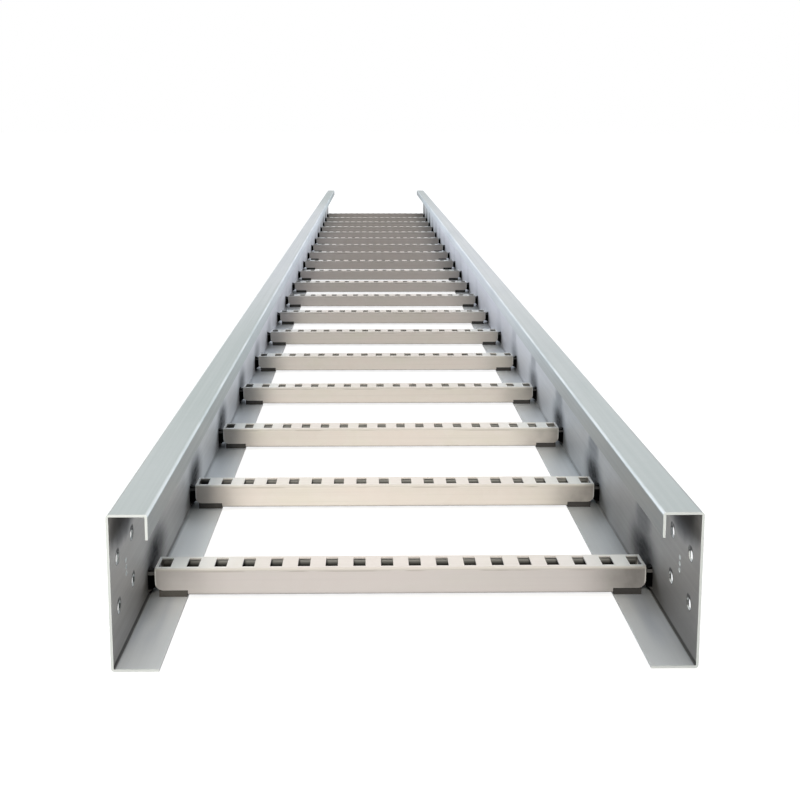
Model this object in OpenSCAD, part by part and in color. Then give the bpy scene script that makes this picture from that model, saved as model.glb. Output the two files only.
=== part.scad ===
// Cable ladder section: two folded sheet steel side rails joined by
// slotted channel rungs, each rung held at both ends by a dark moulded
// end block that stands on the rail's bottom flange.
// Ladder length runs along Y, width along X, +Z is up.
// Origin: middle of the footprint, on the underside of the rails.

/* [Part to draw] */

/* [Ladder] */
// Clear width between the two rail webs (mm)
inside_w = 450; // [150:50:900]
// Distance from one rung's centre line to the next (mm)
rung_pitch = 300; // [225:25:400]
// Distance from each rail end to the nearest rung's centre line (mm)
end_gap = 192.5; // [140:0.5:300]

/* [Side rails] */
// Height of the side rail (mm)
rail_h = 125; // [80:5:175]
// Rail sheet thickness (mm)
rail_t = 2; // [1.5:0.1:2.5]
// Outside bend radius of the rail folds (mm)
rail_r = 2.6; // [2.5:0.1:4]
// Width of the top flange over its folds (mm)
top_flange_w = 31.5; // [24:0.5:40]
// Depth of the return lip that hangs from the top flange (mm)
lip_h = 20; // [10:1:24]
// Width of the plain bottom flange (mm)
bottom_flange_w = 37; // [30:1:50]

/* [Rungs] */
// Width of a rung across its top (mm)
rung_w = 39; // [35:1:50]
// Rung sheet thickness (mm)
rung_t = 1.5; // [1.2:0.1:2]
// Outside bend radius along the rung's top edges (mm)
rung_r = 2.4; // [2:0.1:4]
// Height of the rung's top face above the rail's underside (mm)
rung_top_z = 27.8; // [24:0.1:36]
// Height of the rung walls' lower edges above the rail's underside (mm)
rung_low_z = 3.5; // [2.6:0.1:6]
// Gap between a rung's end and the rail web (mm)
rung_end_gap = 6.5; // [4:0.5:8]
// Height cut away from the rung walls over the bottom flange (mm)
notch_h = 4.5; // [3:0.5:8]
// Radius of the rounded lower corner at a rung wall's end (mm)
wall_corner_r = 7; // [4:0.5:8]
// Width of the inturned lips along the rung's underside (mm)
rung_lip_w = 9; // [6:0.5:12]

/* [Rung slots] */
// Number of cable tie slots in a rung's top
slot_count = 18; // [4:1:18]
// Distance between neighbouring slot centres (mm)
slot_pitch = 24.8; // [20:0.1:25]
// Width of a slot, along the rung (mm)
slot_w = 11; // [7:0.5:12]
// Length of a slot, across the rung (mm)
slot_l = 26; // [16:0.5:28]

/* [Rung end blocks] */
// Length of the block's foot along the rung (mm)
foot_l = 25; // [15:1:28]
// Distance of the foot's outer face from the rung's end (mm)
foot_inset = 3.5; // [2:0.5:6]
// Play between the block and the insides of the rung walls (mm)
block_play = 0.3; // [0.1:0.1:0.8]
// Length along the rail of the ear that stands against the web (mm)
ear_l = 11; // [8:1:16]
// Height of the ear's lower corner at the web above the rail's underside (mm)
ear_low_z = 5.5; // [4.5:0.5:8]
// Height of the ear's top at the web above the rail's underside (mm)
ear_top_z = 26.4; // [20:0.1:30]
// Height that the ear's top falls from the web to the rung (mm)
ear_fall = 2.4; // [0:0.1:4]
// Bevel along the ear's front top edge (mm)
ear_bevel = 2.4; // [0.5:0.1:4]
// Height of the low wall behind the ear above the rail's underside (mm)
low_wall_z = 16; // [10:0.5:18]

/* [Splice holes] */
// Distance from the rail end to the first column of slots (mm)
splice_y = 33; // [25:1:45]
// Distance between the two columns of slots (mm)
splice_dy = 68; // [50:1:90]
// Height of the lower row of slots (mm)
splice_z = 41; // [30:1:50]
// Distance between the two rows of slots (mm)
splice_dz = 40; // [30:1:60]
// Height of a splice slot (mm)
splice_hole_h = 9; // [7:0.5:11]
// Overall length of a splice slot (mm)
splice_hole_l = 14; // [12:1:20]
// Diameter of the three small bonding holes (mm)
bond_d = 3.5; // [2.5:0.1:4]
// Distance of the bonding holes from the end of the rail (mm)
bond_y = 70; // [50:1:90]
// Height of the middle bonding hole (mm)
bond_z = 62.5; // [55:0.5:70]
// Distance between neighbouring bonding holes (mm)
bond_dz = 5.5; // [5:0.5:8]

/* [Hidden] */
$fn = 64;
rung_count = 19;
rail_l = (rung_count - 1) * rung_pitch + 2 * end_gap;
web_x = inside_w / 2;                    // inner face of each web
out_x = web_x + rail_t;                  // outer face of each web
rung_hl = web_x - rung_end_gap;          // half the rung's length
notch_z = rung_low_z + notch_h;          // underside of the notched wall
flange_in_x = out_x - bottom_flange_w;   // inner edge of the bottom flange
foot_out_x = rung_hl - foot_inset;
foot_in_x = foot_out_x - foot_l;
notch_in_x = min(flange_in_x, foot_in_x) - 0.5;
block_w = rung_w - 2 * rung_t - 2 * block_play;
slab_low_z = notch_z + 2.5;              // underside of the block inside the rung
slab_z = notch_z + 8;                    // top of the block inside the rung

// Y of a rung's centre line, counted from 1 at the front end
function rung_y(i) = -rail_l / 2 + end_gap + (i - 1) * rung_pitch;

// Quarter bend of sheet: centre at the origin, in the quadrant (sx, sy)
module bend(r, t, sx, sy) {
  intersection() {
    difference() {
      circle(r = r);
      circle(r = r - t);
    }
    translate([sx > 0 ? 0 : -r, sy > 0 ? 0 : -r]) square([r, r]);
  }
}

// Rail section, web's outer face at x = 0, flanges towards +x
module rail_section() {
  h = rail_h;
  t = rail_t;
  r = rail_r;
  union() {
    translate([0, r]) square([t, h - 2 * r]);
    translate([r, 0]) square([bottom_flange_w - r, t]);
    translate([r, r]) bend(r, t, -1, -1);
    translate([r, h - t]) square([top_flange_w - 2 * r, t]);
    translate([r, h - r]) bend(r, t, -1, 1);
    translate([top_flange_w - r, h - r]) bend(r, t, 1, 1);
    translate([top_flange_w - t, h - lip_h]) square([t, lip_h - r]);
  }
}

// Flat-sided slot with round ends, long side along x
module slot_2d(l, h) {
  square([l - h, h], center = true);
  translate([-(l - h) / 2, 0]) circle(d = h);
  translate([(l - h) / 2, 0]) circle(d = h);
}

// The holes near one rail end, cut through the web along +x
module splice_holes() {
  for (c = [0, 1], k = [0, 1])
    translate([-2, splice_y + c * splice_dy, splice_z + k * splice_dz])
      rotate([90, 0, 90]) linear_extrude(rail_t + 4) slot_2d(splice_hole_l, splice_hole_h);
  for (k = [-1, 0, 1])
    translate([-2, bond_y, bond_z + k * bond_dz])
      rotate([0, 90, 0]) cylinder(d = bond_d, h = rail_t + 4);
}

// Left-hand side rail
module side_rail() {
  color([0.70, 0.73, 0.75])
  translate([-out_x, 0, 0])
  difference() {
    translate([0, rail_l / 2, 0]) rotate([90, 0, 0])
      linear_extrude(rail_l) rail_section();
    translate([0, -rail_l / 2, 0]) splice_holes();
    mirror([0, 1, 0]) translate([0, -rail_l / 2, 0]) splice_holes();
  }
}

// Half of the rung's section: one wall with its top fold and its lip
module rung_half_section() {
  w = rung_w;
  t = rung_t;
  r = rung_r;
  translate([0, rung_top_z - t]) square([w / 2 - r, t]);
  translate([w / 2 - r, rung_top_z - r]) bend(r, t, 1, 1);
  translate([w / 2 - t, rung_low_z + r]) square([t, rung_top_z - rung_low_z - 2 * r]);
  translate([w / 2 - r, rung_low_z + r]) bend(r, t, 1, -1);
  translate([w / 2 - rung_lip_w, rung_low_z]) square([rung_lip_w - r, t]);
}

// Rung section across its length: an upside-down C, centred on x = 0
module rung_section() {
  rung_half_section();
  mirror([1, 0]) rung_half_section();
}

// What is cut from the +x end of a rung: the step over the bottom
// flange and the rounded lower corner of both walls
module rung_end_cut() {
  c = wall_corner_r;
  translate([notch_in_x, -rung_w, -5]) cube([60, 2 * rung_w, notch_z + 5]);
  translate([rung_hl - c, -rung_w, notch_z - 1])
    difference() {
      cube([c + 5, 2 * rung_w, c + 1]);
      translate([0, -1, c + 1]) rotate([-90, 0, 0]) cylinder(r = c, h = 2 * rung_w + 2);
    }
}

// One rung, centred on y = 0
module rung() {
  color([0.80, 0.78, 0.74])
  difference() {
    translate([-rung_hl, 0, 0]) rotate([90, 0, 90])
      linear_extrude(2 * rung_hl) rung_section();
    for (k = [0 : slot_count - 1])
      translate([(k - (slot_count - 1) / 2) * slot_pitch - slot_w / 2, -slot_l / 2, rung_top_z - rung_t - 1])
        cube([slot_w, slot_l, rung_t + 2]);
    rung_end_cut();
    mirror([1, 0, 0]) rung_end_cut();
  }
}

// The ear of an end block: stands between the rung's end and the web
// on the front side. Its lower edge slopes up from the web to the
// rung's rounded corner, its top slopes down from the web to the rung.
module ear() {
  x0 = foot_out_x - 1;
  y0 = -block_w / 2;
  rung_side_z = ear_top_z - ear_fall;
  intersection() {
    translate([0, y0 + ear_l, 0]) rotate([90, 0, 0]) linear_extrude(ear_l)
      polygon([
        [x0, slab_low_z], [rung_hl, slab_low_z], [web_x, ear_low_z],
        [web_x, ear_top_z], [rung_hl, rung_side_z], [x0, rung_side_z]
      ]);
    translate([x0 - 1, y0, 0]) rotate([90, 0, 90]) linear_extrude(web_x - x0 + 2)
      polygon([
        [0, 0], [ear_l, 0], [ear_l, ear_top_z + 1],
        [ear_bevel, ear_top_z + 1], [ear_bevel, rung_side_z], [0, rung_side_z - ear_bevel]
      ]);
  }
}

// Low wall behind the ear, as wide as the block
module low_wall() {
  x0 = foot_out_x - 1;
  translate([0, block_w / 2, 0]) rotate([90, 0, 0]) linear_extrude(block_w - 1)
    polygon([
      [x0, slab_low_z], [rung_hl, slab_low_z], [web_x, ear_low_z],
      [web_x, low_wall_z], [x0, low_wall_z]
    ]);
}

// End block of a rung's +x end: a foot on the bottom flange under the
// notched walls, a slab inside the rung, a low wall and an ear against the web
module end_block() {
  color([0.10, 0.10, 0.10])
  union() {
    translate([foot_in_x, -rung_w / 2, rail_t]) cube([foot_l, rung_w, notch_z - rail_t]);
    translate([foot_in_x, -block_w / 2, notch_z - 1]) cube([foot_l, block_w, slab_z - notch_z + 1]);
    low_wall();
    ear();
  }
}

module rung_at(i) { translate([0, rung_y(i), 0]) rung(); }
module block_right_at(i) { translate([0, rung_y(i), 0]) end_block(); }
module block_left_at(i) { translate([0, rung_y(i), 0]) mirror([1, 0, 0]) end_block(); }

side_rail();  // side_rail_left
mirror([1, 0, 0]) side_rail();  // side_rail_right
rung_at(1);  // rung_01
rung_at(2);  // rung_02
rung_at(3);  // rung_03
rung_at(4);  // rung_04
rung_at(5);  // rung_05
rung_at(6);  // rung_06
rung_at(7);  // rung_07
rung_at(8);  // rung_08
rung_at(9);  // rung_09
rung_at(10);  // rung_10
rung_at(11);  // rung_11
rung_at(12);  // rung_12
rung_at(13);  // rung_13
rung_at(14);  // rung_14
rung_at(15);  // rung_15
rung_at(16);  // rung_16
rung_at(17);  // rung_17
rung_at(18);  // rung_18
rung_at(19);  // rung_19
block_left_at(1);  // end_block_left_01
block_left_at(2);  // end_block_left_02
block_left_at(3);  // end_block_left_03
block_left_at(4);  // end_block_left_04
block_left_at(5);  // end_block_left_05
block_left_at(6);  // end_block_left_06
block_left_at(7);  // end_block_left_07
block_left_at(8);  // end_block_left_08
block_left_at(9);  // end_block_left_09
block_left_at(10);  // end_block_left_10
block_left_at(11);  // end_block_left_11
block_left_at(12);  // end_block_left_12
block_left_at(13);  // end_block_left_13
block_left_at(14);  // end_block_left_14
block_left_at(15);  // end_block_left_15
block_left_at(16);  // end_block_left_16
block_left_at(17);  // end_block_left_17
block_left_at(18);  // end_block_left_18
block_left_at(19);  // end_block_left_19
block_right_at(1);  // end_block_right_01
block_right_at(2);  // end_block_right_02
block_right_at(3);  // end_block_right_03
block_right_at(4);  // end_block_right_04
block_right_at(5);  // end_block_right_05
block_right_at(6);  // end_block_right_06
block_right_at(7);  // end_block_right_07
block_right_at(8);  // end_block_right_08
block_right_at(9);  // end_block_right_09
block_right_at(10);  // end_block_right_10
block_right_at(11);  // end_block_right_11
block_right_at(12);  // end_block_right_12
block_right_at(13);  // end_block_right_13
block_right_at(14);  // end_block_right_14
block_right_at(15);  // end_block_right_15
block_right_at(16);  // end_block_right_16
block_right_at(17);  // end_block_right_17
block_right_at(18);  // end_block_right_18
block_right_at(19);  // end_block_right_19
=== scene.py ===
import math
import bpy
from mathutils import Matrix, Vector


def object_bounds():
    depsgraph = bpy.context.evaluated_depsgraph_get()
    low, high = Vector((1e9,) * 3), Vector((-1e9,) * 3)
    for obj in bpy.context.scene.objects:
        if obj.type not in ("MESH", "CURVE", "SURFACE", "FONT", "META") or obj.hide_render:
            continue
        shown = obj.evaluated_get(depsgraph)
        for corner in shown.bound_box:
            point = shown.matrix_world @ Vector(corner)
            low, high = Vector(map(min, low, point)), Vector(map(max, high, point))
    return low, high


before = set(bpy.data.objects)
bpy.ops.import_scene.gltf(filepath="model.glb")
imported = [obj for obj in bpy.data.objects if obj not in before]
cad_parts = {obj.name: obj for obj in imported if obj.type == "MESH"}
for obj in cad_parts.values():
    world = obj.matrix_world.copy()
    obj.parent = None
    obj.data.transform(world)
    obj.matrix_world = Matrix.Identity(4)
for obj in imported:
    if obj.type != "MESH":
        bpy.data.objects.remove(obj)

CAD_BOX = [list(map(float, v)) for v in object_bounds()]
LO, HI = CAD_BOX
FRONT_Y = LO[1]                    # the front end of the rails
WEB_X = HI[0] - 0.002              # inner face of each web
RUNG1_Y = FRONT_Y + 0.1925
PITCH = 0.300
LIP_X = HI[0] - 0.0315            # inner face of each top flange's lip


# ---------------------------------------------------------------- node helper
class Net:
    """Short names for building a node tree."""

    def __init__(self, mat):
        mat.use_nodes = True
        self.t = mat.node_tree
        self.t.nodes.clear()
        self.out = self.t.nodes.new("ShaderNodeOutputMaterial")
        self.bsdf = self.t.nodes.new("ShaderNodeBsdfPrincipled")
        self.t.links.new(self.bsdf.outputs[0], self.out.inputs[0])
        self.co = self.t.nodes.new("ShaderNodeTexCoord").outputs["Object"]

    def link(self, a, b):
        if hasattr(a, "is_output"):
            self.t.links.new(a, b)
        else:
            b.default_value = a

    def n(self, kind, **props):
        node = self.t.nodes.new(kind)
        for k, v in props.items():
            setattr(node, k, v)
        return node

    def math(self, op, a, b=0.0, c=None, clamp=False):
        m = self.n("ShaderNodeMath", operation=op, use_clamp=clamp)
        self.link(a, m.inputs[0])
        self.link(b, m.inputs[1])
        if c is not None:
            self.link(c, m.inputs[2])
        return m.outputs[0]

    def scaled(self, sx, sy, sz, loc=(0, 0, 0)):
        m = self.n("ShaderNodeMapping")
        m.inputs["Scale"].default_value = (sx, sy, sz)
        m.inputs["Location"].default_value = loc
        self.link(self.co, m.inputs["Vector"])
        return m.outputs[0]

    def noise(self, scale, detail=3.0, rough=0.5, vec=None, dist=0.0):
        m = self.n("ShaderNodeTexNoise")
        m.inputs["Scale"].default_value = scale
        m.inputs["Detail"].default_value = detail
        m.inputs["Roughness"].default_value = rough
        m.inputs["Distortion"].default_value = dist
        self.link(vec if vec is not None else self.co, m.inputs["Vector"])
        return m.outputs["Fac"]

    def cells(self, scale, vec=None, jitter=1.0):
        m = self.n("ShaderNodeTexVoronoi", feature="F1")
        m.inputs["Scale"].default_value = scale
        m.inputs["Randomness"].default_value = jitter
        self.link(vec if vec is not None else self.co, m.inputs["Vector"])
        sep = self.n("ShaderNodeSeparateColor")
        self.link(m.outputs["Color"], sep.inputs[0])
        return sep.outputs[0]

    def remap(self, v, a, b, c, d, smooth=False):
        m = self.n("ShaderNodeMapRange", clamp=True)
        if smooth:
            m.interpolation_type = "SMOOTHSTEP"
        self.link(v, m.inputs["Value"])
        for k, x in zip(("From Min", "From Max", "To Min", "To Max"), (a, b, c, d)):
            m.inputs[k].default_value = x
        return m.outputs[0]

    def mix(self, f, a, b, mode="MIX"):
        m = self.n("ShaderNodeMix", data_type="RGBA", blend_type=mode)
        m.clamp_factor = True
        self.link(f, m.inputs["Factor"])
        ia, ib = [s for s in m.inputs if s.type == "RGBA"]
        self.link(a, ia)
        self.link(b, ib)
        return [s for s in m.outputs if s.type == "RGBA"][0]

    def xyz(self):
        s = self.n("ShaderNodeSeparateXYZ")
        self.link(self.co, s.inputs[0])
        return s.outputs

    def bump(self, h, strength, dist, after=None):
        b = self.n("ShaderNodeBump")
        b.inputs["Strength"].default_value = strength
        b.inputs["Distance"].default_value = dist
        self.link(h, b.inputs["Height"])
        if after is not None:
            self.link(after, b.inputs["Normal"])
        return b.outputs[0]

    def edge(self, radius=0.0008):
        """1 on a sharp edge, 0 on a flat face."""
        b = self.n("ShaderNodeBevel", samples=4)
        b.inputs["Radius"].default_value = radius
        g = self.n("ShaderNodeNewGeometry")
        d = self.n("ShaderNodeVectorMath", operation="DOT_PRODUCT")
        self.link(b.outputs[0], d.inputs[0])
        self.link(g.outputs["Normal"], d.inputs[1])
        return self.remap(d.outputs["Value"], 0.75, 0.995, 1.0, 0.0)


def rgb(r, g, b):
    return (r, g, b, 1.0)


def rung_phase(net, y):
    """Distance in Y from the nearest rung's centre line, in metres."""
    u = net.math("SUBTRACT", y, RUNG1_Y - PITCH / 2)
    u = net.math("DIVIDE", u, PITCH)
    u = net.math("FRACT", u)
    u = net.math("SUBTRACT", u, 0.5)
    return net.math("MULTIPLY", u, PITCH)


# ---------------------------------------------------------------- materials
def rail_steel():
    mat = bpy.data.materials.new("rail_galvanised")
    k = Net(mat)
    x, y, z = k.xyz()
    cloud = k.noise(2.3, 3.0, 0.5)
    streak = k.noise(1.0, 4.0, 0.6, vec=k.scaled(260.0, 1.6, 260.0))
    fine = k.noise(1.0, 3.0, 0.6, vec=k.scaled(900.0, 14.0, 900.0))
    spangle = k.cells(95.0, vec=k.scaled(1.0, 0.8, 1.0))
    col = k.mix(k.remap(cloud, 0.35, 0.65, 0.0, 1.0), rgb(0.50, 0.535, 0.565), rgb(0.585, 0.61, 0.63))
    col = k.mix(k.remap(spangle, 0.0, 1.0, 0.0, 0.16), col, rgb(0.68, 0.70, 0.72))
    col = k.mix(k.remap(streak, 0.42, 0.70, 0.0, 0.28), col, rgb(0.42, 0.44, 0.455))
    ax = k.math("ABSOLUTE", x)
    # inner faces of the webs
    inner = k.remap(ax, WEB_X - 0.0012, WEB_X - 0.0001, 0.0, 1.0)
    outer = k.remap(ax, WEB_X + 0.0001, WEB_X + 0.0004, 1.0, 0.0)
    web = k.math("MULTIPLY", inner, outer)
    # distance from the nearer rail end
    end = k.math("SUBTRACT", HI[1], k.math("ABSOLUTE", y))
    # the bottom flange is painted lighter, most towards its inner edge (painted light), and darker next to the web
    # near the rail ends (painted shade)
    low = k.math("MULTIPLY", k.remap(z, 0.0022, 0.0034, 1.0, 0.0), k.remap(ax, WEB_X - 0.004, WEB_X - 0.002, 1.0, 0.0))
    inside = k.remap(ax, 0.190, 0.222, 1.0, 0.0)
    flange_web_shade = k.math("MULTIPLY", k.remap(ax, 0.197, 0.208, 0.0, 1.0, smooth=True), k.remap(k.noise(1.0, 3.0, 0.5, vec=k.scaled(60.0, 5.0, 60.0)), 0.35, 0.62, 0.25, 1.0))
    flange_web_shade = k.math("MULTIPLY", flange_web_shade, k.math("MULTIPLY", k.remap(end, 0.012, 0.085, 0.0, 1.0, smooth=True), k.remap(end, 0.19, 0.34, 1.0, 0.15)))
    col = k.mix(k.math("MULTIPLY", low, k.math("MULTIPLY_ADD", inside, 0.45, 0.40)), col, rgb(0.80, 0.825, 0.835))
    col = k.mix(k.math("MULTIPLY", k.math("MULTIPLY", low, flange_web_shade), 0.62), col, rgb(0.475, 0.515, 0.575))
    # between the first two rungs at each end: painted light on the left bottom flange, painted shade on the right
    gap = k.math("MULTIPLY", low, k.math("MULTIPLY", k.remap(end, 0.16, 0.24, 0.0, 1.0), k.remap(end, 0.42, 0.60, 1.0, 0.0)))
    col = k.mix(k.math("MULTIPLY", gap, k.remap(x, -0.1, 0.1, 0.80, 0.0)), col, rgb(0.91, 0.94, 0.94))
    col = k.mix(k.math("MULTIPLY", gap, k.remap(x, -0.1, 0.1, 0.0, 0.34)), col, rgb(0.42, 0.45, 0.46))
    # darker, browner web towards the rail ends: painted shade
    end_web_shade = k.remap(k.math("ADD", end, k.math("MULTIPLY", k.math("SUBTRACT", k.noise(9.0, 3.0, 0.5), 0.5), 0.24)), 0.04, 0.72, 1.0, 0.0, smooth=True)
    col = k.mix(k.math("MULTIPLY", k.math("MULTIPLY", web, end_web_shade), 0.76), col, rgb(0.225, 0.211, 0.193))
    # the web is painted paler away from the rail ends: painted light
    col = k.mix(k.math("MULTIPLY", k.math("MULTIPLY", web, k.remap(end, 0.7, 1.7, 0.0, 1.0)), 0.85), col, rgb(0.765, 0.775, 0.83))
    # painted shade on the right-hand web near the rail ends
    col = k.mix(k.math("MULTIPLY", web, k.math("MULTIPLY", k.remap(x, -0.1, 0.1, 0.0, 0.22), k.remap(end, 0.0, 0.9, 1.0, 0.0))), col, rgb(0.12, 0.115, 0.11))
    # painted shade low on the web, darkest in the fold with the bottom flange
    lowweb = k.math("MULTIPLY", web, k.remap(z, 0.004, 0.058, 1.0, 0.0, smooth=True))
    col = k.mix(k.math("MULTIPLY", lowweb, k.math("MULTIPLY_ADD", end_web_shade, 0.55, 0.20)), col, rgb(0.120, 0.111, 0.100))
    fold = k.math("MULTIPLY", k.remap(ax, WEB_X - 0.0019, WEB_X - 0.0008, 0.0, 1.0), k.remap(z, 0.0036, 0.0056, 1.0, 0.0))
    fold = k.math("MULTIPLY", fold, outer)
    col = k.mix(k.math("MULTIPLY", fold, k.math("MULTIPLY_ADD", k.remap(end, 0.17, 0.30, 1.0, 0.0), 0.70, k.remap(k.noise(30.0, 3.0, 0.6), 0.3, 0.7, 0.02, 0.18))), col, rgb(0.045, 0.044, 0.044))
    # painted shadow under the top flange, near the rail ends
    s1 = k.math("DIVIDE", k.math("SUBTRACT", end, 0.064), 0.050)
    s2 = k.math("DIVIDE", k.math("SUBTRACT", z, 0.1045), 0.0165)
    sr = k.math("ADD", k.math("MULTIPLY", s1, s1), k.math("MULTIPLY", s2, s2))
    sr = k.math("ADD", sr, k.math("MULTIPLY", k.math("SUBTRACT", k.noise(45.0, 3.0, 0.55), 0.5), 1.0))
    flange_shadow = k.math("MULTIPLY", inner, k.remap(sr, 0.0, 2.0, 1.0, 0.0, smooth=True))
    flange_shadow = k.math("MULTIPLY", flange_shadow, outer)
    col = k.mix(k.math("MULTIPLY", flange_shadow, 0.66), col, rgb(0.030, 0.031, 0.038))
    # painted shade along the top of the web, under the top flange
    under_flange_shade = k.math("MULTIPLY", web, k.remap(z, 0.104, 0.122, 0.0, 1.0, smooth=True))
    col = k.mix(k.math("MULTIPLY", under_flange_shade, 0.26), col, rgb(0.13, 0.13, 0.13))
    # painted shadow of each rung end on the web just behind it
    dy = rung_phase(k, y)
    e1 = k.math("DIVIDE", k.math("SUBTRACT", dy, 0.029), 0.056)
    e2 = k.math("DIVIDE", k.math("SUBTRACT", z, 0.0270), 0.0230)
    r2 = k.math("ADD", k.math("MULTIPLY", e1, e1), k.math("MULTIPLY", e2, e2))
    r2 = k.math("ADD", r2, k.math("MULTIPLY", k.math("SUBTRACT", k.noise(38.0, 3.0, 0.6), 0.5), 0.5))
    r2 = k.math("SQRT", k.math("MAXIMUM", r2, 0.0))
    rung_shadow = k.math("MULTIPLY", k.remap(r2, 0.12, 1.60, 1.0, 0.0, smooth=True), inner)
    # a softer painted shade rises above it; both grow fainter away from the rail ends
    e1 = k.math("DIVIDE", k.math("SUBTRACT", dy, 0.034), 0.040)
    e2 = k.math("DIVIDE", k.math("SUBTRACT", z, 0.046), 0.058)
    r3 = k.math("ADD", k.math("MULTIPLY", e1, e1), k.math("MULTIPLY", e2, e2))
    r3 = k.math("ADD", r3, k.math("MULTIPLY", k.math("SUBTRACT", k.noise(30.0, 3.0, 0.6), 0.5), 0.9))
    rise = k.math("MULTIPLY", k.remap(r3, 0.0, 1.4, 1.0, 0.0, smooth=True), k.math("MULTIPLY", inner, k.remap(x, -0.1, 0.1, 0.34, 0.52)))
    rung_shadow = k.math("MULTIPLY", k.math("MAXIMUM", rung_shadow, rise), outer)
    rung_shadow = k.math("MULTIPLY", rung_shadow, k.remap(end, 0.8, 1.9, 1.0, 0.22))
    # no two alike: some painted shadows are weaker, and all are broken up by fine noise
    uneven = k.remap(k.noise(1.0, 2.0, 0.5, vec=k.scaled(0.9, 3.1, 0.0)), 0.38, 0.60, 0.45, 1.0)
    uneven = k.math("MAXIMUM", uneven, k.remap(y, FRONT_Y + 1.55, FRONT_Y + 1.85, 1.0, 0.0))
    shadow_breakup = k.remap(k.noise(1.0, 4.0, 0.65, vec=k.scaled(140.0, 55.0, 300.0)), 0.35, 0.60, 0.86, 1.0)
    rung_shadow = k.math("MULTIPLY", rung_shadow, k.math("MULTIPLY", uneven, shadow_breakup))
    col = k.mix(k.math("MULTIPLY", rung_shadow, 0.97), col, rgb(0.006, 0.006, 0.008))
    # painted shade on the top flange and lip, darker towards the rail ends
    upper = k.math("MULTIPLY", k.remap(z, HI[2] - 0.021, HI[2] - 0.0205, 0.0, 1.0), k.math("SUBTRACT", 1.0, web, clamp=True))
    back = k.math("MULTIPLY", k.remap(ax, WEB_X + 0.0003, WEB_X + 0.0008, 0.0, 1.0), k.remap(z, HI[2] - 0.0030, HI[2] - 0.0012, 1.0, 0.0))
    upper = k.math("MULTIPLY", upper, k.math("SUBTRACT", 1.0, back, clamp=True))
    near = k.remap(end, 0.0, 1.9, 1.0, 0.0)
    col = k.mix(k.math("MULTIPLY", upper, k.math("MULTIPLY", near, 0.68)), col, rgb(0.315, 0.365, 0.355))
    # more painted shade on the top flange and lip from about 0.15 m to 1.8 m from the ends, stronger on the left rail
    patch = k.math("MULTIPLY", k.remap(x, -0.1, 0.1, 0.40, 0.10), k.math("MULTIPLY", k.remap(end, 0.15, 0.45, 0.0, 1.0), k.remap(end, 0.9, 1.8, 1.0, 0.0)))
    col = k.mix(k.math("MULTIPLY", upper, patch), col, rgb(0.26, 0.32, 0.305))
    # painted shade on the lip faces towards the rail ends, a little stronger on the right rail
    lip = k.math("MULTIPLY", upper, k.remap(z, HI[2] - 0.0035, HI[2] - 0.0020, 1.0, 0.0))
    col = k.mix(k.math("MULTIPLY", lip, k.math("MULTIPLY", k.remap(end, 0.1, 0.9, 1.0, 0.0), k.remap(x, -0.1, 0.1, 0.74, 0.86))), col, rgb(0.19, 0.195, 0.19))
    # painted shade over each splice slot, heaviest on its upper rim; a painted highlight ring around each bonding hole
    u = k.math("ABSOLUTE", k.math("SUBTRACT", k.math("ABSOLUTE", k.math("SUBTRACT", end, 0.067)), 0.034))
    u = k.math("MAXIMUM", k.math("SUBTRACT", u, 0.0025), 0.0)
    w = k.math("SUBTRACT", k.math("ABSOLUTE", k.math("SUBTRACT", k.math("SUBTRACT", z, 0.0013), 0.061)), 0.020)
    hr = k.math("SQRT", k.math("ADD", k.math("MULTIPLY", u, u), k.math("MULTIPLY", w, w)))
    ring = k.remap(hr, 0.0055, 0.0070, 1.0, 0.0)
    u = k.math("SUBTRACT", end, 0.070)
    u = k.math("MULTIPLY", u, 0.62)
    v = k.math("ABSOLUTE", k.math("SUBTRACT", z, 0.0625))
    v = k.math("MINIMUM", v, k.math("ABSOLUTE", k.math("SUBTRACT", v, 0.0055)))
    hr = k.math("SQRT", k.math("ADD", k.math("MULTIPLY", u, u), k.math("MULTIPLY", v, v)))
    ring2 = k.math("MULTIPLY", k.remap(hr, 0.0018, 0.0022, 1.0, 0.0), web)
    hole_shade = k.math("MULTIPLY", ring, web)
    hole_shade = k.math("MULTIPLY", hole_shade, k.remap(k.noise(130.0, 2.0, 0.5), 0.36, 0.50, 0.35, 1.0))
    col = k.mix(k.math("MULTIPLY", hole_shade, 0.72), col, rgb(0.015, 0.015, 0.015))
    # painted highlight along sharp edges
    edge = k.edge(0.0007)
    col = k.mix(k.math("MULTIPLY", edge, 0.45), col, rgb(0.86, 0.86, 0.85))
    # painted highlight line along the fold between top flange and lip
    lip_fold_highlight = k.math("MULTIPLY", k.remap(z, HI[2] - 0.0024, HI[2] - 0.0018, 0.0, 1.0), k.remap(ax, LIP_X + 0.0012, LIP_X + 0.0022, 1.0, 0.0))
    col = k.mix(k.math("MULTIPLY", lip_fold_highlight, k.remap(k.noise(1.0, 3.0, 0.6, vec=k.scaled(40.0, 5.0, 40.0)), 0.35, 0.65, 0.15, 0.55)), col, rgb(0.80, 0.81, 0.82))
    # bare cut edges: rail ends and hole walls, plus the painted highlight rings around the bonding holes
    cut_and_glint = k.remap(end, 0.0001, 0.0004, 1.0, 0.0)
    walls = k.math("MULTIPLY", k.remap(ax, WEB_X + 0.0001, WEB_X + 0.0002, 0.0, 1.0), k.remap(ax, WEB_X + 0.0015, WEB_X + 0.0018, 1.0, 0.0))
    cut_and_glint = k.math("MAXIMUM", cut_and_glint, k.math("MULTIPLY", walls, k.remap(z, 0.004, 0.008, 0.0, 1.0)))
    cut_and_glint = k.math("MAXIMUM", cut_and_glint, ring2)
    col = k.mix(cut_and_glint, col, rgb(0.625, 0.665, 0.67))
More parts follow.
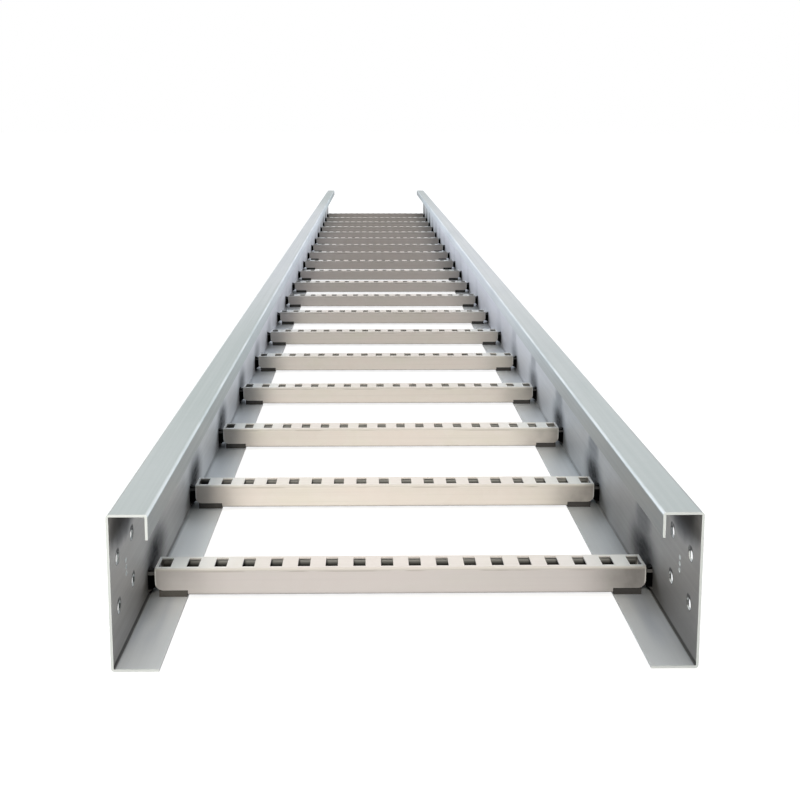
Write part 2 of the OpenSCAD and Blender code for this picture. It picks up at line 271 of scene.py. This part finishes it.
    # painted shade on the upper walls of the splice slots
    roof = k.math("MULTIPLY", walls, k.math("MULTIPLY", k.remap(w, -0.0005, 0.0007, 0.0, 1.0), k.remap(end, 0.02, 0.022, 0.0, 1.0)))
    roof = k.math("MULTIPLY", roof, k.math("MULTIPLY", k.remap(w, 0.0040, 0.0055, 1.0, 0.0), k.remap(end, 0.115, 0.117, 1.0, 0.0)))
    col = k.mix(k.math("MULTIPLY", roof, 0.85), col, rgb(0.03, 0.03, 0.03))
    k.link(col, k.bsdf.inputs["Base Color"])
    # less metallic on the cut edges, the bonding-hole highlight rings and where shade is painted; rougher where shade
    # is painted
    k.link(k.math("MULTIPLY_ADD", k.math("MAXIMUM", k.math("MAXIMUM", cut_and_glint, hole_shade), k.math("MAXIMUM", rung_shadow, k.math("MAXIMUM", fold, flange_shadow))), -0.50, 0.55), k.bsdf.inputs["Metallic"])
    rough = k.remap(k.math("ADD", k.math("MULTIPLY", streak, 0.6), k.math("MULTIPLY", cloud, 0.4)), 0.3, 0.7, 0.34, 0.50)
    shade_masks = k.math("MAXIMUM", k.math("MAXIMUM", rung_shadow, fold), k.math("MAXIMUM", flange_shadow, hole_shade))
    rough = k.math("ADD", rough, k.math("MULTIPLY", lip_fold_highlight, 0.35))
    rough = k.math("ADD", rough, k.math("MULTIPLY", shade_masks, 0.5), clamp=True)
    k.link(rough, k.bsdf.inputs["Roughness"])
    k.bsdf.inputs["Specular IOR Level"].default_value = 0.10
    h = k.bump(k.math("ADD", k.math("MULTIPLY", fine, 0.6), k.math("MULTIPLY", spangle, 0.4)), 0.10, 0.0003)
    h = k.bump(k.noise(7.0, 2.0, 0.5), 0.10, 0.004, after=h)
    k.link(h, k.bsdf.inputs["Normal"])
    return mat


def rung_steel():
    mat = bpy.data.materials.new("rung_galvanised")
    k = Net(mat)
    x, y, z = k.xyz()
    cloud = k.noise(5.0, 3.0, 0.5, vec=k.scaled(0.6, 1.3, 1.0))
    streak = k.noise(1.0, 4.0, 0.6, vec=k.scaled(3.0, 330.0, 330.0))
    spangle = k.cells(120.0)
    col = k.mix(k.remap(cloud, 0.35, 0.65, 0.0, 1.0), rgb(0.735, 0.685, 0.635), rgb(0.79, 0.74, 0.69))
    col = k.mix(k.remap(spangle, 0.0, 1.0, 0.0, 0.14), col, rgb(0.84, 0.82, 0.79))
    col = k.mix(k.remap(streak, 0.45, 0.72, 0.0, 0.22), col, rgb(0.56, 0.535, 0.50))
    ax = k.math("ABSOLUTE", x)
    # warm and pinkish mottling along the rung walls
    tint = k.noise(1.0, 3.0, 0.55, vec=k.scaled(14.0, 9.0, 34.0))
    col = k.mix(k.remap(tint, 0.48, 0.68, 0.0, 0.30), col, rgb(0.79, 0.70, 0.66))
    col = k.mix(k.remap(tint, 0.50, 0.30, 0.0, 0.25), col, rgb(0.70, 0.70, 0.58))
    # the rungs warm along the section; the one nearest the front is greyer
    col = k.mix(k.remap(y, RUNG1_Y + 1.5, RUNG1_Y + 3.3, 0.0, 0.55), col, rgb(0.845, 0.745, 0.68))
    last = k.remap(y, FRONT_Y + 0.22, FRONT_Y + 0.45, 1.0, 0.0)
    last = k.math("MULTIPLY", last, k.remap(z, 0.0262, 0.0272, 1.0, 0.15))
    col = k.mix(k.math("MULTIPLY", last, 0.60), col, rgb(0.53, 0.515, 0.543))
    # darker, browner tops from the middle of the section onward
    far = k.math("MULTIPLY", k.remap(y, RUNG1_Y + 2.5, RUNG1_Y + 3.5, 0.0, 1.0), k.remap(z, 0.0262, 0.0270, 0.0, 1.0))
    col = k.mix(k.math("MULTIPLY", far, 0.50), col, rgb(0.40, 0.365, 0.33))
    # painted shade towards the rung ends, mostly on the walls and stronger at the right-hand end
    spot = k.remap(k.noise(26.0, 4.0, 0.6), 0.35, 0.7, 0.60, 1.0)
    end_shade = k.math("MULTIPLY", k.remap(ax, 0.145, 0.213, 0.0, 1.0, smooth=True), spot)
    right_hand = k.remap(x, 0.120, 0.200, 0.0, 1.0, smooth=True)
    end_shade = k.math("MULTIPLY", end_shade, k.math("MULTIPLY_ADD", right_hand, 0.50, 0.42))
    end_shade = k.math("MULTIPLY", end_shade, k.remap(z, 0.0262, 0.0274, 1.0, 0.12))
    # weaker past the first few rungs
    end_shade = k.math("MULTIPLY", end_shade, k.remap(y, RUNG1_Y + 0.5, RUNG1_Y + 1.2, 1.0, 0.45))
    col = k.mix(end_shade, col, rgb(0.185, 0.18, 0.17))
    # painted light on the tops towards the rung ends
    bright = k.math("MULTIPLY", k.remap(ax, 0.13, 0.20, 0.0, 1.0), k.remap(z, 0.0266, 0.0276, 0.0, 1.0))
    col = k.mix(k.math("MULTIPLY", bright, 0.80), col, rgb(0.93, 0.96, 0.94))
    # inside of the channel: painted light near the top, fading to painted shade deeper down
    dyc = k.math("ABSOLUTE", rung_phase(k, y))
    hollow = k.math("MULTIPLY", k.remap(dyc, 0.0182, 0.0190, 1.0, 0.0), k.remap(z, 0.0258, 0.0266, 1.0, 0.0))
    hollow = k.math("MULTIPLY", hollow, k.remap(ax, 0.2155, 0.2172, 1.0, 0.0))
    depth_shading = k.math("POWER", k.remap(z, 0.0175, 0.0252, 0.0, 1.0), 2.4)
    col = k.mix(hollow, col, k.mix(depth_shading, rgb(0.012, 0.012, 0.010), rgb(0.80, 0.81, 0.78)))
    # brighter rim at the sheared ends: a painted highlight
    rim = k.remap(ax, 0.2172, 0.2178, 0.0, 1.0)
    col = k.mix(k.math("MULTIPLY", rim, 0.75), col, rgb(0.88, 0.88, 0.86))
    # fine painted shade lines just below the top fold
    fold_shade_line = k.math("MULTIPLY", k.remap(z, 0.0242, 0.0250, 0.0, 1.0), k.remap(z, 0.0252, 0.0260, 1.0, 0.0))
    fold_shade_line = k.math("MULTIPLY", fold_shade_line, k.remap(k.noise(1.0, 2.0, 0.5, vec=k.scaled(22.0, 3.0, 3.0, (0.3, 0.0, 0.0))), 0.50, 0.60, 0.0, 1.0))
    col = k.mix(k.math("MULTIPLY", fold_shade_line, 0.42), col, rgb(0.25, 0.22, 0.18))
    # faint painted highlight along sharp edges
    edge = k.edge(0.0006)
    col = k.mix(k.math("MULTIPLY", edge, 0.08), col, rgb(0.90, 0.885, 0.86))
    # painted shade on the top fold, dimming its highlight
    bendz = k.math("MULTIPLY", k.remap(z, 0.0250, 0.0258, 0.0, 1.0), k.remap(dyc, 0.0168, 0.0174, 0.0, 1.0))
    col = k.mix(k.math("MULTIPLY", bendz, 0.55), col, rgb(0.56, 0.54, 0.50))
    k.link(col, k.bsdf.inputs["Base Color"])
    k.bsdf.inputs["Metallic"].default_value = 0.35
    rough = k.remap(k.math("ADD", k.math("MULTIPLY", streak, 0.6), k.math("MULTIPLY", cloud, 0.4)), 0.3, 0.7, 0.38, 0.54)
    k.link(k.math("ADD", rough, k.math("MULTIPLY", bendz, 0.30), clamp=True), k.bsdf.inputs["Roughness"])
    h = k.bump(k.math("ADD", k.math("MULTIPLY", streak, 0.5), k.math("MULTIPLY", spangle, 0.5)), 0.10, 0.0003)
    k.link(h, k.bsdf.inputs["Normal"])
    return mat


def block_plastic():
    mat = bpy.data.materials.new("end_block_plastic")
    k = Net(mat)
    x, y, z = k.xyz()
    grain = k.noise(420.0, 3.0, 0.6)
    dust = k.noise(60.0, 4.0, 0.6)
    # painted light and shade: the foot is lighter than the near-black block above it, and lighter on the left-hand
    # blocks
    foot = k.remap(z, 0.0075, 0.0085, 1.0, 0.0)
    dark = k.mix(foot, rgb(0.0008, 0.0008, 0.0009), k.mix(k.remap(x, -0.1, 0.1, 0.0, 1.0), rgb(0.072, 0.069, 0.064), rgb(0.046, 0.0445, 0.044)))
    col = k.mix(k.math("MULTIPLY", foot, k.remap(dust, 0.45, 0.75, 0.0, 0.5)), dark, rgb(0.035, 0.033, 0.031))
    # lighter bevel at the front of the ear: a painted highlight
    geo = k.n("ShaderNodeNewGeometry")
    nrm = k.n("ShaderNodeVectorMath", operation="DOT_PRODUCT")
    k.link(geo.outputs["True Normal"], nrm.inputs[0])
    nrm.inputs[1].default_value = (0.0, -0.7071, 0.7071)
    bevel = k.remap(nrm.outputs["Value"], 0.93, 0.98, 0.0, 1.0)
    col = k.mix(bevel, col, rgb(0.095, 0.094, 0.093))
    # painted highlight along sharp edges
    edge = k.edge(0.0006)
    col = k.mix(k.math("MULTIPLY", edge, 0.35), col, rgb(0.10, 0.098, 0.095))
    k.link(col, k.bsdf.inputs["Base Color"])
    k.link(k.remap(grain, 0.3, 0.7, 0.5, 0.7), k.bsdf.inputs["Roughness"])
    k.bsdf.inputs["Specular IOR Level"].default_value = 0.05
    k.link(k.bump(grain, 0.15, 0.0002), k.bsdf.inputs["Normal"])
    return mat


MATS = {"side_rail": rail_steel(), "rung": rung_steel(), "end_block": block_plastic()}
for name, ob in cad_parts.items():
    for key, mat in MATS.items():
        if name.startswith(key):
            if not ob.material_slots:
                ob.data.materials.append(mat)
            for s in ob.material_slots:
                s.material = mat

# ---------------------------------------------------------------- stage
floor_mesh = bpy.data.meshes.new("floor")
S = 120.0
floor_mesh.from_pydata([(-S, -S, 0), (S, -S, 0), (S, S, 0), (-S, S, 0)], [], [(0, 1, 2, 3)])
floor = bpy.data.objects.new("floor", floor_mesh)
floor.location.z = LO[2] - 0.0002
bpy.context.scene.collection.objects.link(floor)
fmat = bpy.data.materials.new("pale_floor")
f = Net(fmat)
f.link(f.mix(f.noise(1.2, 2.0), rgb(0.33, 0.33, 0.33), rgb(0.36, 0.36, 0.36)), f.bsdf.inputs["Base Color"])
f.bsdf.inputs["Roughness"].default_value = 0.9
f.bsdf.inputs["Specular IOR Level"].default_value = 0.0
f.bsdf.inputs["Emission Color"].default_value = (1.0, 1.0, 1.0, 1.0)
# the camera sees a bright floor; it lights the object only by its bounce
flp = f.n("ShaderNodeLightPath")
f.link(f.math("MULTIPLY_ADD", flp.outputs["Is Camera Ray"], 0.65, 0.15), f.bsdf.inputs["Emission Strength"])
floor_mesh.materials.append(fmat)

# a white studio seen by the camera, dimmer as a source of diffuse light
world = bpy.data.worlds.new("studio")
bpy.context.scene.world = world
world.use_nodes = True
wt = world.node_tree
bg = wt.nodes["Background"]
lp = wt.nodes.new("ShaderNodeLightPath")
tc = wt.nodes.new("ShaderNodeTexCoord")
sep = wt.nodes.new("ShaderNodeSeparateXYZ")
wt.links.new(tc.outputs["Generated"], sep.inputs[0])


def wmath(op, a, b, c=None):
    m = wt.nodes.new("ShaderNodeMath")
    m.operation = op
    for v, i in zip((a, b, c), m.inputs):
        if v is None:
            continue
        if hasattr(v, "is_output"):
            wt.links.new(v, i)
        else:
            i.default_value = v
    return m.outputs[0]


# brighter behind the far end than behind the front end
glossy = wmath("MULTIPLY_ADD", sep.outputs["Y"], 0.40, 0.70)
diffuse = wmath("MULTIPLY_ADD", sep.outputs["Y"], 0.10, 0.25)
level = wmath("MULTIPLY", lp.outputs["Is Camera Ray"], 1.0)
level = wmath("MULTIPLY_ADD", lp.outputs["Is Glossy Ray"], glossy, level)
level = wmath("MULTIPLY_ADD", lp.outputs["Is Diffuse Ray"], diffuse, level)
bg.inputs[0].default_value = (1.0, 1.0, 1.0, 1.0)
wt.links.new(level, bg.inputs[1])


def sun(name, direction, strength, angle, color=(1, 1, 1)):
    """direction points from the object towards the light."""
    li = bpy.data.lights.new(name, "SUN")
    li.energy = strength
    li.angle = math.radians(angle)
    li.color = color
    ob = bpy.data.objects.new(name, li)
    ob.rotation_euler = Vector(direction).to_track_quat("Z", "Y").to_euler()
    ob.location = (0, 0, 5)
    bpy.context.scene.collection.objects.link(ob)
    return ob


sun("overhead_soft", (0.03, 0.0, 1.0), 1.05, 40.0)

# soft light from beyond the far end, low on both sides
sun("far_left", (-0.80, 0.75, 0.20), 2.3, 25.0, (0.84, 0.91, 1.0))
sun("far_right", (0.80, 0.75, 0.20), 2.2, 25.0, (0.86, 0.92, 1.0))

spot = bpy.data.lights.new("front_spot", "SPOT")
spot.energy = 760.0
spot.spot_size = math.radians(20.0)
spot.spot_blend = 1.0
spot.shadow_soft_size = 0.35
spot.color = (1.0, 0.945, 0.85)
spot_ob = bpy.data.objects.new("front_spot", spot)
spot_ob.location = (-0.25, FRONT_Y - 3.0, 1.75)
spot_ob.rotation_euler = (spot_ob.location - Vector((-0.03, FRONT_Y + 0.60, 0.03))).to_track_quat("Z", "Y").to_euler()
bpy.context.scene.collection.objects.link(spot_ob)
spot_ob.visible_glossy = False

# ---------------------------------------------------------------- camera
CX, CY, CZ = -0.026713, FRONT_Y - 1.041371, 0.410541
YAW, PITCHD, ROLL, FOCAL = -0.0209626, 0.187936, 0.00094312, 1423.64
right = Vector((math.cos(YAW), math.sin(YAW), 0.0))
flat = Vector((-math.sin(YAW), math.cos(YAW), 0.0))
fwd = math.cos(PITCHD) * flat - math.sin(PITCHD) * Vector((0, 0, 1))
up = math.sin(PITCHD) * flat + math.cos(PITCHD) * Vector((0, 0, 1))
r2 = math.cos(ROLL) * right + math.sin(ROLL) * up
u2 = -math.sin(ROLL) * right + math.cos(ROLL) * up
cam_data = bpy.data.cameras.new("camera")
cam_data.sensor_width = 36.0
cam_data.lens = 36.0 * FOCAL / 800.0
cam_data.clip_end = 200.0
cam = bpy.data.objects.new("camera", cam_data)
m = Matrix((r2, u2, -fwd)).transposed().to_4x4()
m.translation = Vector((CX, CY, CZ))
cam.matrix_world = m
bpy.context.scene.collection.objects.link(cam)
bpy.context.scene.camera = cam
bpy.context.scene.view_settings.view_transform = "Standard"
bpy.context.scene.view_settings.look = "None"
